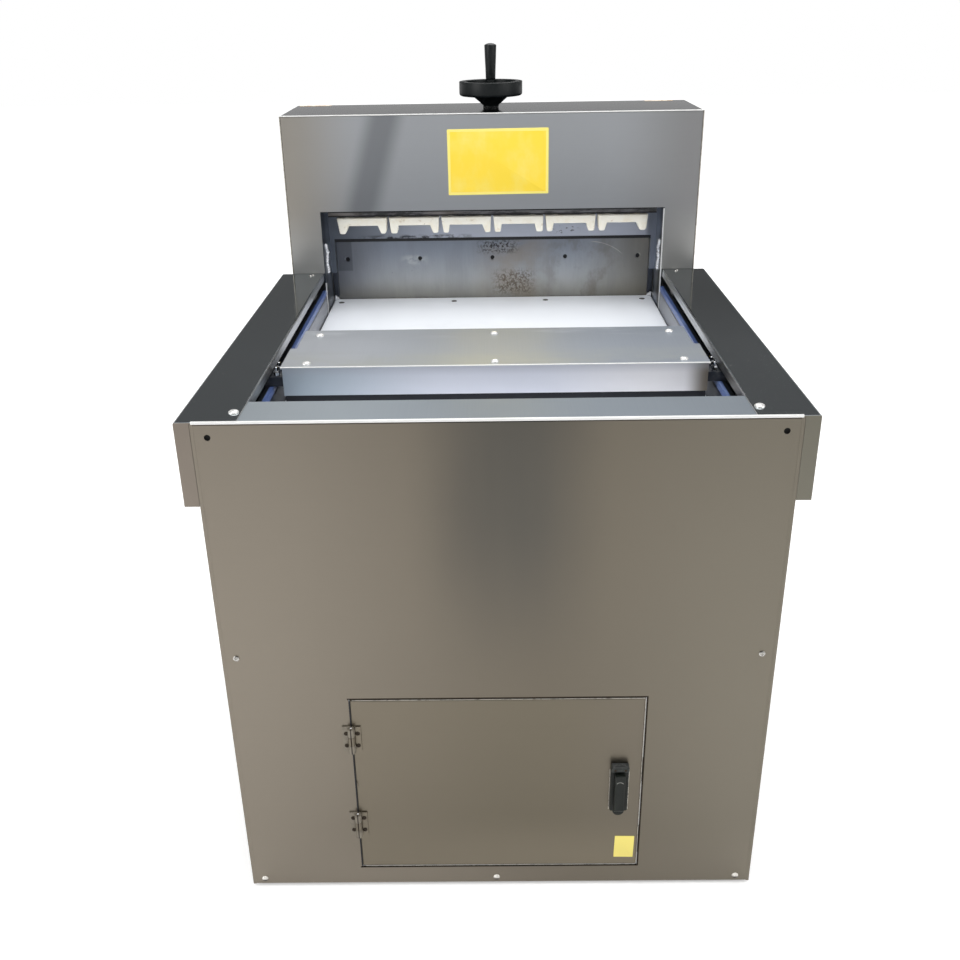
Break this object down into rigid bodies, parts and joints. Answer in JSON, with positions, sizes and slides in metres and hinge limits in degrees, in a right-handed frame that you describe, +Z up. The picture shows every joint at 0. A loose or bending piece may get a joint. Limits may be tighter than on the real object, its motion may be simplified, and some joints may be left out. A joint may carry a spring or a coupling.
{
  "type": "industrial food slicer",
  "caption": "Floor-standing slicer for frozen meat rolls: screw-driven pusher on a white board, portal with press feet, handwheel and guillotine blade, cabinet door in front.",
  "frame": {"origin": "centre of the bounding box at floor level", "axes": "+Z up, +Y from the feed side with the door to the outfeed side, +X to the right seen from the feed side"},
  "size_m": [0.853, 1.1036, 1.2396],
  "materials": {
    "frame_paint": "satin grey paint",
    "brushed_steel": "brushed stainless steel",
    "dark_steel": "mirror-polished stainless steel",
    "zinc_steel": "satin steel",
    "blade_steel": "ground steel",
    "white_board": "matt white polyethylene",
    "blue_plastic": "satin blue nylon",
    "ivory_plastic": "matt ivory polyethylene",
    "black_plastic": "glossy black phenolic",
    "grey_plastic": "matt grey plastic",
    "motor_paint": "satin blue-grey paint",
    "green_plastic": "glossy green plastic",
    "red_plastic": "glossy red plastic"
  },
  "bodies": {
    "machine": {"base_frame": "frame_paint", "front_panel": "brushed_steel", "left_side_panel": "brushed_steel", "right_side_panel": "brushed_steel", "rear_panel": "brushed_steel", "front_deck_plate": "zinc_steel", "left_side_cover": "dark_steel", "right_side_cover": "dark_steel", "trough": "zinc_steel", "feed_board": "white_board", "left_slide_strip": "blue_plastic", "right_slide_strip": "blue_plastic", "portal_frame": "frame_paint", "portal_shell": "brushed_steel", "portal_front_cover": "brushed_steel", "portal_rear_cover": "brushed_steel", "guide_plate": "zinc_steel", "left_blade_guide": "blade_steel", "right_blade_guide": "blade_steel", "blade_gearbox": "motor_paint", "blade_motor": "motor_paint", "left_rail_unit": "zinc_steel", "right_rail_unit": "zinc_steel", "feed_motor": "black_plastic", "feed_chain": "blade_steel", "lower_hinge_leaf": "zinc_steel", "upper_hinge_leaf": "zinc_steel", "electrical_plate": "zinc_steel", "inverter": "grey_plastic", "outfeed_chute": "zinc_steel"},
    "pusher": {"pusher_top": "zinc_steel", "pusher_body": "zinc_steel", "left_pusher_arm": "zinc_steel", "right_pusher_arm": "zinc_steel"},
    "left_screw": {"left_feed_screw": "zinc_steel"},
    "right_screw": {"right_feed_screw": "zinc_steel"},
    "motor_shaft": {"feed_motor_sprocket": "zinc_steel"},
    "blade_carriage": {"blade": "blade_steel", "blade_carrier": "zinc_steel"},
    "crank": {"crankshaft": "zinc_steel"},
    "rods": {"left_connecting_rod": "zinc_steel", "right_connecting_rod": "zinc_steel"},
    "beam": {"press_beam": "zinc_steel"},
    "handwheel_and_screw": {"press_screw": "zinc_steel", "handwheel": "black_plastic"},
    "grip": {"handwheel_grip": "black_plastic"},
    "door_and_lock": {"door": "brushed_steel", "lock_body": "black_plastic", "lock_cap": "grey_plastic"},
    "spindle": {"lock_spindle": "zinc_steel"},
    "lever": {"lock_lever": "black_plastic"},
    "start": {"start_button": "green_plastic"},
    "stop": {"stop_button": "black_plastic"},
    "emergency": {"emergency_stop": "red_plastic"},
    "foot_1": {"press_foot_1": "ivory_plastic"},
    "foot_2": {"press_foot_2": "ivory_plastic"},
    "foot_3": {"press_foot_3": "ivory_plastic"},
    "foot_4": {"press_foot_4": "ivory_plastic"},
    "foot_5": {"press_foot_5": "ivory_plastic"},
    "foot_6": {"press_foot_6": "ivory_plastic"}
  },
  "joints": [
    {"name": "pusher_slide", "type": "slide", "parent": "machine", "child": "pusher", "axis": [0, 1, 0], "range_m": [-0.13, 0.475]},
    {"name": "left_screw_turn", "type": "hinge", "parent": "machine", "child": "left_screw", "pos_m": [-0.379, -0.46525, 0.762], "axis": [0, 1, 0], "range_deg": [-8550.5, 2340.5]},
    {"name": "right_screw_turn", "type": "hinge", "parent": "machine", "child": "right_screw", "pos_m": [0.379, -0.46525, 0.762], "axis": [0, 1, 0], "range_deg": [-8550.5, 2340.5]},
    {"name": "motor_turn", "type": "hinge", "parent": "machine", "child": "motor_shaft", "pos_m": [0, -0.46525, 0.6895], "axis": [0, 1, 0], "range_deg": [-8550.5, 2340.5]},
    {"name": "crank_turn", "type": "hinge", "parent": "machine", "child": "crank", "pos_m": [0, 0.40175, 0.35], "axis": [-1, 0, 0], "range_deg": [0, 180]},
    {"name": "rod_turn", "type": "hinge", "parent": "crank", "child": "rods", "pos_m": [0, 0.40175, 0.2925], "axis": [-1, 0, 0], "range_deg": [-180, 0]},
    {"name": "blade_slide", "type": "slide", "parent": "machine", "child": "blade_carriage", "axis": [0, 0, 1], "range_m": [0, 0.115]},
    {"name": "handwheel_turn", "type": "hinge", "parent": "machine", "child": "handwheel_and_screw", "pos_m": [0, 0.39675, 1.1238], "axis": [0, 0, 1], "range_deg": [0, 4320]},
    {"name": "press_slide", "type": "slide", "parent": "machine", "child": "beam", "axis": [0, 0, 1], "range_m": [-0.0601, 0]},
    {"name": "grip_turn", "type": "hinge", "parent": "handwheel_and_screw", "child": "grip", "pos_m": [0, 0.44675, 1.1726], "axis": [0, 0, 1], "continuous": true},
    {"name": "foot_slide_1", "type": "slide", "parent": "beam", "child": "foot_1", "axis": [0, 0, 1], "range_m": [0, 0.01]},
    {"name": "foot_slide_2", "type": "slide", "parent": "beam", "child": "foot_2", "axis": [0, 0, 1], "range_m": [0, 0.01]},
    {"name": "foot_slide_3", "type": "slide", "parent": "beam", "child": "foot_3", "axis": [0, 0, 1], "range_m": [0, 0.01]},
    {"name": "foot_slide_4", "type": "slide", "parent": "beam", "child": "foot_4", "axis": [0, 0, 1], "range_m": [0, 0.01]},
    {"name": "foot_slide_5", "type": "slide", "parent": "beam", "child": "foot_5", "axis": [0, 0, 1], "range_m": [0, 0.01]},
    {"name": "foot_slide_6", "type": "slide", "parent": "beam", "child": "foot_6", "axis": [0, 0, 1], "range_m": [0, 0.01]},
    {"name": "door_hinge", "type": "hinge", "parent": "machine", "child": "door_and_lock", "pos_m": [-0.2235, -0.53905, 0.2], "axis": [0, 0, -1], "range_deg": [0, 110]},
    {"name": "lock_turn", "type": "hinge", "parent": "door_and_lock", "child": "spindle", "pos_m": [0.18525, -0.53325, 0.172], "axis": [0, -1, 0], "range_deg": [0, 90]},
    {"name": "lever_lift", "type": "hinge", "parent": "spindle", "child": "lever", "pos_m": [0.18525, -0.54675, 0.172], "axis": [1, 0, 0], "range_deg": [0, 35]},
    {"name": "start_press", "type": "slide", "parent": "machine", "child": "start", "axis": [0, -1, 0], "range_m": [0, 0.003], "stiffness_N_per_m": 300},
    {"name": "stop_press", "type": "slide", "parent": "machine", "child": "stop", "axis": [0, -1, 0], "range_m": [0, 0.003], "stiffness_N_per_m": 300},
    {"name": "emergency_press", "type": "slide", "parent": "machine", "child": "emergency", "axis": [0, -1, 0], "range_m": [0, 0.003], "stiffness_N_per_m": 300}
  ],
  "couplings": [
    {"joint": "left_screw_turn", "follows": "pusher_slide", "rad_per_m": -314.16},
    {"joint": "right_screw_turn", "follows": "pusher_slide", "rad_per_m": -314.16},
    {"joint": "motor_turn", "follows": "pusher_slide", "rad_per_m": -314.16},
    {"joint": "rod_turn", "follows": "crank_turn", "ratio": -1},
    {"joint": "blade_slide", "follows": "crank_turn", "m_per_rad": 0.036606},
    {"joint": "press_slide", "follows": "handwheel_turn", "m_per_rad": -0.00079577}
  ]
}
